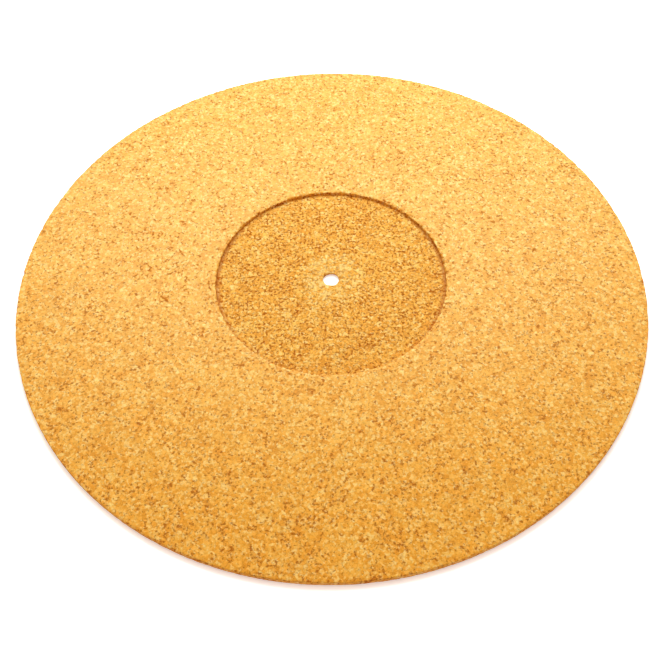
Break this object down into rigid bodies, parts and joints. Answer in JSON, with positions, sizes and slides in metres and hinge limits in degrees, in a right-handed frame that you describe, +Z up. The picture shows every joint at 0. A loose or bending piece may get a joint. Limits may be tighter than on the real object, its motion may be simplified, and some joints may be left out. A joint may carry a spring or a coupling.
{
  "type": "turntable platter mat",
  "caption": "Thin round cork mat that lies on a turntable platter, with a shallow round recess for the label of a record and a centre hole for the spindle.",
  "frame": {"origin": "on the underside, at the axis of the spindle hole", "axes": "+Z up, out of the face that the record lies on; the mat is round about Z, so +X and +Y are any two radii at right angles"},
  "size_m": [0.3, 0.3, 0.003],
  "materials": {
    "cork": "fine agglomerated cork, sanded flat on both faces, rougher where the recess is milled and the edges are cut"
  },
  "bodies": {
    "root": {"platter_mat": "cork"}
  },
  "joints": []
}
